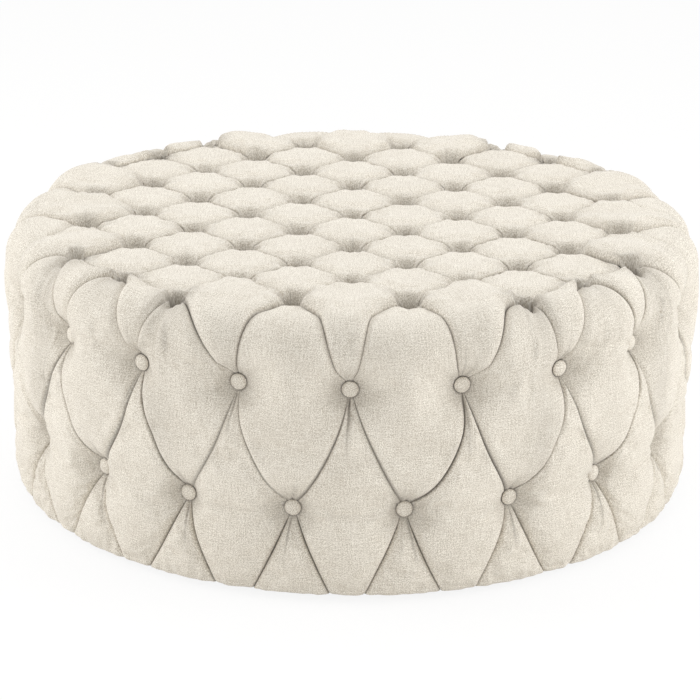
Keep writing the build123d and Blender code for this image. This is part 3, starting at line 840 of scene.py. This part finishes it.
def swell(parts, look):
    # the simulation runs on every second point; its steps are filled in between them
    # and applied times (1 - held)
    coarse = [tuple(grid[::2, ::2] for grid in part) for part in parts]
    trial = meshOfPatches("clothTrial", coarse, keepHeld=True)
    start, step = relaxCloth(trial, look)
    places = treeOf(start)
    result = []
    for point, crease, held, cloth in parts:
        rough = point[::2, ::2]
        found = [places.find(place)[1] for place in rough.reshape(-1, 3) / 1000]
        move = step[found].reshape(rough.shape) * 1000
        move = doubled(doubled(move).swapaxes(0, 1)).swapaxes(0, 1)
        result.append((point + move * (1 - held)[..., None], crease, held, cloth))
    bpy.data.meshes.remove(trial.data)  # and the object with it
    return result


patches = swell(patches, clothLook)
tuftedFabric = meshOfPatches("tuftedFabric", patches)


# Covered buttons

buttonLook = {
    "radius": 11.6, "height": 7.4, "wall": 2.5, "dome": 0.9, "around": 28, "rings": 7,
    "foot": ((0.1, 1.6), (0.6, 0.7), (1.8, 0.1)),  # how far in from the radius, and height
    "puckers": ((15, 1, 0.6), (9, 2, 0.4)),  # how many, turned by the spin times, share
    "pucker": 0.22, "puckerFrom": 6.0, "puckerOver": 6.0, "puckerIn": 0.8, "puckerDown": 0.7,
    "tilt": 2.5, "darkBelow": 4.2, "darkOver": 2.0,
}


def buttonPatch(name, look):
    # profile turned about the well's axis: an elliptic dome, a wall and a tucked-in foot,
    # less puckers that are two sines round it and grow towards its edge
    origin, across, up, outward = wellFrame(name)
    angle = np.linspace(0, 2 * np.pi, look["around"] + 1)
    bend = np.linspace(0, 1, look["rings"]) * np.pi / 2
    domeLevel = look["wall"] + (look["height"] - look["wall"]) * np.cos(bend) ** look["dome"]
    foot = [[look["radius"] - inward, level] for inward, level in look["foot"]]
    profile = np.concatenate([np.stack([look["radius"] * np.sin(bend), domeLevel], -1), foot])
    spin = rng.uniform(0, 2 * np.pi)
    ripple = sum(share * np.sin(count * angle + turns * spin) for count, turns, share in look["puckers"])
    ripple[-1] = ripple[0]
    amount = look["pucker"] * fadeOver(profile[:, :1], look["puckerFrom"], look["puckerOver"])
    radius = profile[:, :1] - amount * (1 + ripple[None]) * look["puckerIn"]
    level = profile[:, 1:] - look["puckerDown"] * amount * ripple[None]
    lean = np.radians(look["tilt"]) * rng.uniform(-1, 1, 2)
    x, y = radius * np.cos(angle), radius * np.sin(angle)
    level = np.maximum(level + lean[0] * x * 0.5 + lean[1] * y * 0.5, 0.05)
    point = origin + x[..., None] * across + y[..., None] * up + level[..., None] * outward
    # painted shade on the button's low wall and foot, where it meets the cloth
    crease = np.clip((look["darkBelow"] - level) / look["darkOver"], 0, 1)
    # every button has its own place on the cloth, by its spin
    cloth = np.stack([x + 31 * spin, y + 17 * spin], -1)
    return point, crease, np.ones_like(crease), cloth


buttonPieces = {}
for row in ("top", "upper", "lower"):
    rowPatches = [buttonPatch(name, buttonLook) for name in wells if name[0] == row]
    buttonPieces[row] = meshOfPatches(row + "Buttons", rowPatches)


# Materials

def newGroup(name, inputs, outputs):
    # node group with these sockets, by label and kind
    group = bpy.data.node_groups.new(name, "ShaderNodeTree")
    for way, sockets in (("INPUT", inputs), ("OUTPUT", outputs)):
        for label, kind in sockets.items():
            group.interface.new_socket(label, in_out=way, socket_type="NodeSocket" + kind)
    return group, group.nodes.new("NodeGroupInput").outputs, group.nodes.new("NodeGroupOutput").inputs


def setInputs(tree, node, links):
    # links sockets to a node's inputs, or gives them values
    for key, value in links.items():
        if isinstance(value, bpy.types.NodeSocket):
            tree.links.new(value, node.inputs[key])
        else:
            node.inputs[key].default_value = value


def addNode(tree, kind, links=None, **settings):
    # a node with its settings and inputs
    node = tree.nodes.new("ShaderNode" + kind)
    for key, value in settings.items():
        setattr(node, key, value)
    setInputs(tree, node, links or {})
    return node


def mathNode(tree, operation, a, b):
    # value of the operation on a and b
    return addNode(tree, "Math", {0: a, 1: b}, operation=operation).outputs[0]


def weightedSum(tree, parts):
    # share * value for every part, added up
    total = None
    for value, share in parts:
        scaled = mathNode(tree, "MULTIPLY", value, share)
        total = scaled if total is None else mathNode(tree, "ADD", total, scaled)
    return total


def mixColor(tree, factor, a, b):
    # a at factor 0, b at 1
    return addNode(tree, "Mix", {0: factor, 6: a, 7: b}, data_type="RGBA").outputs[2]


def rampNode(tree, factor, low, high):
    # 0 below low, 1 above high
    return addNode(tree, "MapRange", {0: factor, 1: low, 2: high}).outputs[0]


def linear(red, green, blue):
    # colour of the screen, 0 to 255, as linear light
    value = np.array([red, green, blue]) / 255
    value = np.where(value <= 0.04045, value / 12.92, ((value + 0.055) / 1.055) ** 2.4)
    return (*[float(v) for v in value], 1.0)


linenLook = {
    "pale": linear(249, 244, 233), "deep": linear(178, 168, 152),
    # painted shade in creases, gaps, folds and dimples: its colour, its strength and the power of the crease
    # value
    "creaseShadeColor": linear(70, 60, 50), "paintedShade": 0.92, "paintedShadePower": 1.3,
    "threads": 1.5,  # millimetres from one to the next
    "toneSpan": (0.42, 0.58),
    "bump": 0.45, "bumpDistance": 0.0006, "specular": 0.2, "sheen": 0.15, "sheenRoughness": 0.6,
}


def linenGroup(look):
    # threads as the product of two sines of the swaying cloth coordinates, slubs as long thin
    # noise; tone and height are weighted sums of these and of other noises
    group, put, out = newGroup(
        "linenCloth",
        {"Cloth": "Vector", "Crease": "Float", "Pale": "Color", "Deep": "Color", "Dark": "Color",
         "Pitch": "Float"},
        {"Color": "Color", "Height": "Float", "Roughness": "Float"},
    )

    def noiseOf(scale, detail, roughness=0.5, place=put["Cloth"]):
        # noise of the cloth coordinates
        links = {"Vector": place, "Scale": scale, "Detail": detail, "Roughness": roughness}
        return addNode(group, "TexNoise", links).outputs["Fac"]

    parts = addNode(group, "SeparateXYZ", {0: put["Cloth"]})
    shift = weightedSum(group, ((noiseOf(0.11, 2.0), 5.0), (noiseOf(0.4, 2.0), 2.6)))
    wave = []
    for axis in (0, 1):
        turns = mathNode(group, "ADD", parts.outputs[axis], shift)
        turns = mathNode(group, "DIVIDE", turns, put["Pitch"])
        turns = mathNode(group, "MULTIPLY", turns, 2 * math.pi)
        wave.append(mathNode(group, "SINE", turns, 0.0))
    over = mathNode(group, "MULTIPLY", wave[0], wave[1])
    slubs = []
    for stretch in ((0.55, 0.045, 1.0), (0.045, 0.55, 1.0)):
        place = addNode(group, "Mapping", {"Vector": put["Cloth"], "Scale": stretch}).outputs[0]
        slubs.append(noiseOf(1.0, 2.0, 0.55, place))
    slub = mathNode(group, "MULTIPLY", mathNode(group, "ADD", slubs[0], slubs[1]), 0.5)
    speck, grain, patchTone = noiseOf(0.42, 3.0, 0.7), noiseOf(0.8, 2.0, 0.75), noiseOf(0.012, 3.0)
    shares = ((slub, 0.2), (speck, 0.16), (grain, 0.6), (patchTone, 0.04), (over, 0.03))
    tone = rampNode(group, weightedSum(group, shares), *look["toneSpan"])
    color = mixColor(group, tone, put["Deep"], put["Pale"])
    # painted shade: the crease value, raised to a power and scaled, darkens the colour towards Dark
    paintedShade = mathNode(group, "POWER", put["Crease"], look["paintedShadePower"])
    paintedShade = mathNode(group, "MULTIPLY", paintedShade, look["paintedShade"])
    height = weightedSum(group, ((over, 0.12), (slub, 0.4), (speck, 1.1)))
    rough = mathNode(group, "ADD", mathNode(group, "MULTIPLY", speck, 0.12), 0.82)
    group.links.new(mixColor(group, paintedShade, color, put["Dark"]), out["Color"])
    group.links.new(height, out["Height"])
    group.links.new(rough, out["Roughness"])
    return group


def newMaterial(name):
    # a material, its nodes and its shader
    material = bpy.data.materials.new(name)
    material.use_nodes = True
    tree = material.node_tree
    return material, tree, tree.nodes["Principled BSDF"]


def linenMaterial(name, group, look):
    # the linen group on the cloth coordinates and the crease values of a mesh
    material, tree, shader = newMaterial(name)
    cloth = addNode(tree, "UVMap", uv_map="cloth").outputs[0]
    crease = addNode(tree, "Attribute", attribute_name="crease").outputs["Fac"]
    use = addNode(tree, "Group", node_tree=group)
    setInputs(tree, use, {
        "Cloth": cloth, "Crease": crease, "Pale": look["pale"], "Deep": look["deep"],
        "Dark": look["creaseShadeColor"], "Pitch": look["threads"],
    })
    links = {"Height": use.outputs["Height"], "Strength": look["bump"], "Distance": look["bumpDistance"]}
    bump = addNode(tree, "Bump", links)
    setInputs(tree, shader, {
        "Base Color": use.outputs["Color"], "Roughness": use.outputs["Roughness"],
        "Normal": bump.outputs[0], "Specular IOR Level": look["specular"],
        "Sheen Weight": look["sheen"], "Sheen Roughness": look["sheenRoughness"],
    })
    return material


linen = linenMaterial("paleLinen", linenGroup(linenLook), linenLook)
for piece in (tuftedFabric, *buttonPieces.values()):
    piece.data.materials.append(linen)

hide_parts("tufted_cover")
for row, piece in buttonPieces.items():
    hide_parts(row + "_button_covers")
for piece in (tuftedFabric, *buttonPieces.values()):
    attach(piece, "root")
print("fabric dressed")


# Pieces inside and underneath keep their shape and take these finishes

finishLook = {
    # kind, pale and deep colour, scale of the noise, roughness, metal, bump in metres
    "foam": ("speckled", (246, 236, 206), (226, 212, 172), 420, 0.95, 0.0, 0.0004),
    "plywood": ("grained", (222, 196, 152), (180, 146, 100), 9, 0.6, 0.0, 0.0002),
    "pine": ("grained", (232, 204, 154), (196, 152, 96), 16, 0.62, 0.0, 0.0003),
    "hardboard": ("speckled", (132, 96, 64), (98, 68, 44), 260, 0.7, 0.0, 0.0001),
    "liner": ("speckled", (44, 44, 46), (22, 22, 24), 520, 0.9, 0.0, 0.0003),
    "glide_plastic": ("speckled", (40, 40, 41), (30, 30, 31), 900, 0.45, 0.0, 0.00005),
    "screw_steel": ("speckled", (196, 198, 200), (164, 166, 170), 380, 0.32, 1.0, 0.00005),
    "button_metal": ("speckled", (214, 214, 216), (188, 188, 192), 300, 0.35, 1.0, 0.00005),
    "twine": ("grained", (238, 234, 220), (206, 200, 182), 160, 0.8, 0.0, 0.0002),
    "washer_plastic": ("speckled", (226, 226, 222), (212, 212, 206), 700, 0.5, 0.0, 0.00005),
}


def finishGroup(name, stretch, warp):
    # noise of the place, shifted by warp * slow noise and stretched, mixed between two colours
    group, put, out = newGroup(
        name,
        {"Place": "Vector", "Scale": "Float", "Pale": "Color", "Deep": "Color"},
        {"Color": "Color", "Height": "Float"},
    )
    slow = addNode(group, "TexNoise", {"Vector": put["Place"], "Scale": 3.0, "Detail": 2.0})
    shift = addNode(group, "VectorMath", {0: slow.outputs["Color"], 1: (warp,) * 3}, operation="MULTIPLY")
    moved = addNode(group, "VectorMath", {0: put["Place"], 1: shift.outputs[0]}, operation="ADD")
    place = addNode(group, "Mapping", {"Vector": moved.outputs[0], "Scale": stretch}).outputs[0]
    links = {"Vector": place, "Scale": put["Scale"], "Detail": 5.0, "Roughness": 0.6}
    tone = rampNode(group, addNode(group, "TexNoise", links).outputs["Fac"], 0.3, 0.7)
    group.links.new(mixColor(group, tone, put["Deep"], put["Pale"]), out["Color"])
    group.links.new(tone, out["Height"])
    return group


finishGroups = {
    "speckled": finishGroup("speckledFinish", (1.0, 1.0, 1.0), 0.0),
    "grained": finishGroup("grainedFinish", (0.6, 7.0, 7.0), 0.02),
}


def finishMaterial(name, look):
    # one of the finish groups on the object's own coordinates
    kind, pale, deep, scale, rough, metal, depth = look
    material, tree, shader = newMaterial(name)
    place = addNode(tree, "TexCoord").outputs["Object"]
    use = addNode(tree, "Group", node_tree=finishGroups[kind])
    setInputs(tree, use, {"Place": place, "Scale": scale, "Pale": linear(*pale), "Deep": linear(*deep)})
    bump = addNode(tree, "Bump", {"Height": use.outputs["Height"], "Strength": 0.6, "Distance": depth})
    setInputs(tree, shader, {
        "Base Color": use.outputs["Color"], "Normal": bump.outputs[0], "Roughness": rough, "Metallic": metal,
    })
    return material


finishes = {name: finishMaterial(name + "Finish", look) for name, look in finishLook.items()}
for row in frame["record"]["subparts"]:
    if row["material_slot"] in finishes:
        for holder in frame["nodes"][row["node"]].material_slots:
            holder.material = finishes[row["material_slot"]]
print("inner pieces finished")


# Floor and light

studio = {
    "floorSize": 30.0,  # half of its width
    "floorColor": linear(250, 249, 248), "floorGrain": linear(250, 249, 247),
    "floorGlow": 0.88,  # for the camera alone
    "worldLight": 0.72,  # on the object; the camera and mirrors see 1
}
lights = {
    # place and size in metres, power in watts
    "overhead": ((0.2, 0.9, 3.3), 2.4, 27.5),
    "frontFill": ((-0.8, -3.6, 1.8), 2.4, 11.0),
    "leftFill": ((-3.2, 0.0, 1.6), 2.0, 44.0),
    "rightFill": ((3.2, -0.6, 1.6), 2.0, 46.0),
}


def makeFloor(look):
    # a wide pale square under the object, brighter for the camera alone;
    # seen from below it is clear, so that the underside shows
    size = look["floorSize"]
    corners = [(-size, -size, 0), (size, -size, 0), (size, size, 0), (-size, size, 0)]
    mesh = bpy.data.meshes.new("studioFloor")
    mesh.from_pydata(corners, [], [(0, 1, 2, 3)])
    floor = newObject("studioFloor", mesh)
    material, tree, shader = newMaterial("studioFloor")
    tree.nodes.remove(shader)
    place = addNode(tree, "TexCoord").outputs["Object"]
    grain = addNode(tree, "TexNoise", {"Vector": place, "Scale": 3.0}).outputs["Fac"]
    color = mixColor(tree, grain, look["floorColor"], look["floorGrain"])
    matt = addNode(tree, "BsdfDiffuse", {"Color": color}).outputs[0]
    glow = addNode(tree, "Emission").outputs[0]
    seen = addNode(tree, "LightPath").outputs["Is Camera Ray"]
    fade = mathNode(tree, "MULTIPLY", seen, look["floorGlow"])
    above = addNode(tree, "MixShader", {0: fade, 1: matt, 2: glow}).outputs[0]
    clear = addNode(tree, "BsdfTransparent").outputs[0]
    below = addNode(tree, "NewGeometry").outputs["Backfacing"]
    both = addNode(tree, "MixShader", {0: below, 1: above, 2: clear}).outputs[0]
    tree.links.new(both, tree.nodes["Material Output"].inputs["Surface"])
    mesh.materials.append(material)


def makeLight(name, place, size, power, target=(0, 0, 0.2)):
    # a round area light that looks at its target
    data = bpy.data.lights.new(name, "AREA")
    data.shape, data.size, data.energy = "DISK", size, power
    light = newObject(name, data)
    light.location = place
    light.rotation_euler = (Vector(place) - Vector(target)).to_track_quat("Z", "Y").to_euler()


def makeWorld(light):
    # white: light + (1 - light) where the ray is the camera's, glossy or a transmission
    world = bpy.data.worlds.new("studioWorld")
    bpy.context.scene.world = world
    world.use_nodes = True
    tree = world.node_tree
    path = addNode(tree, "LightPath").outputs
    seen = mathNode(tree, "MAXIMUM", path["Is Camera Ray"], path["Is Glossy Ray"])
    seen = mathNode(tree, "MAXIMUM", seen, path["Is Transmission Ray"])
    strength = addNode(tree, "Math", {0: seen, 1: 1 - light, 2: light}, operation="MULTIPLY_ADD")
    setInputs(tree, tree.nodes["Background"], {"Color": (1, 1, 1, 1), "Strength": strength.outputs[0]})


makeFloor(studio)
makeWorld(studio["worldLight"])
for name, light in lights.items():
    makeLight(name, *light)
bpy.context.scene.view_settings.view_transform = "Standard"
print("studio made")
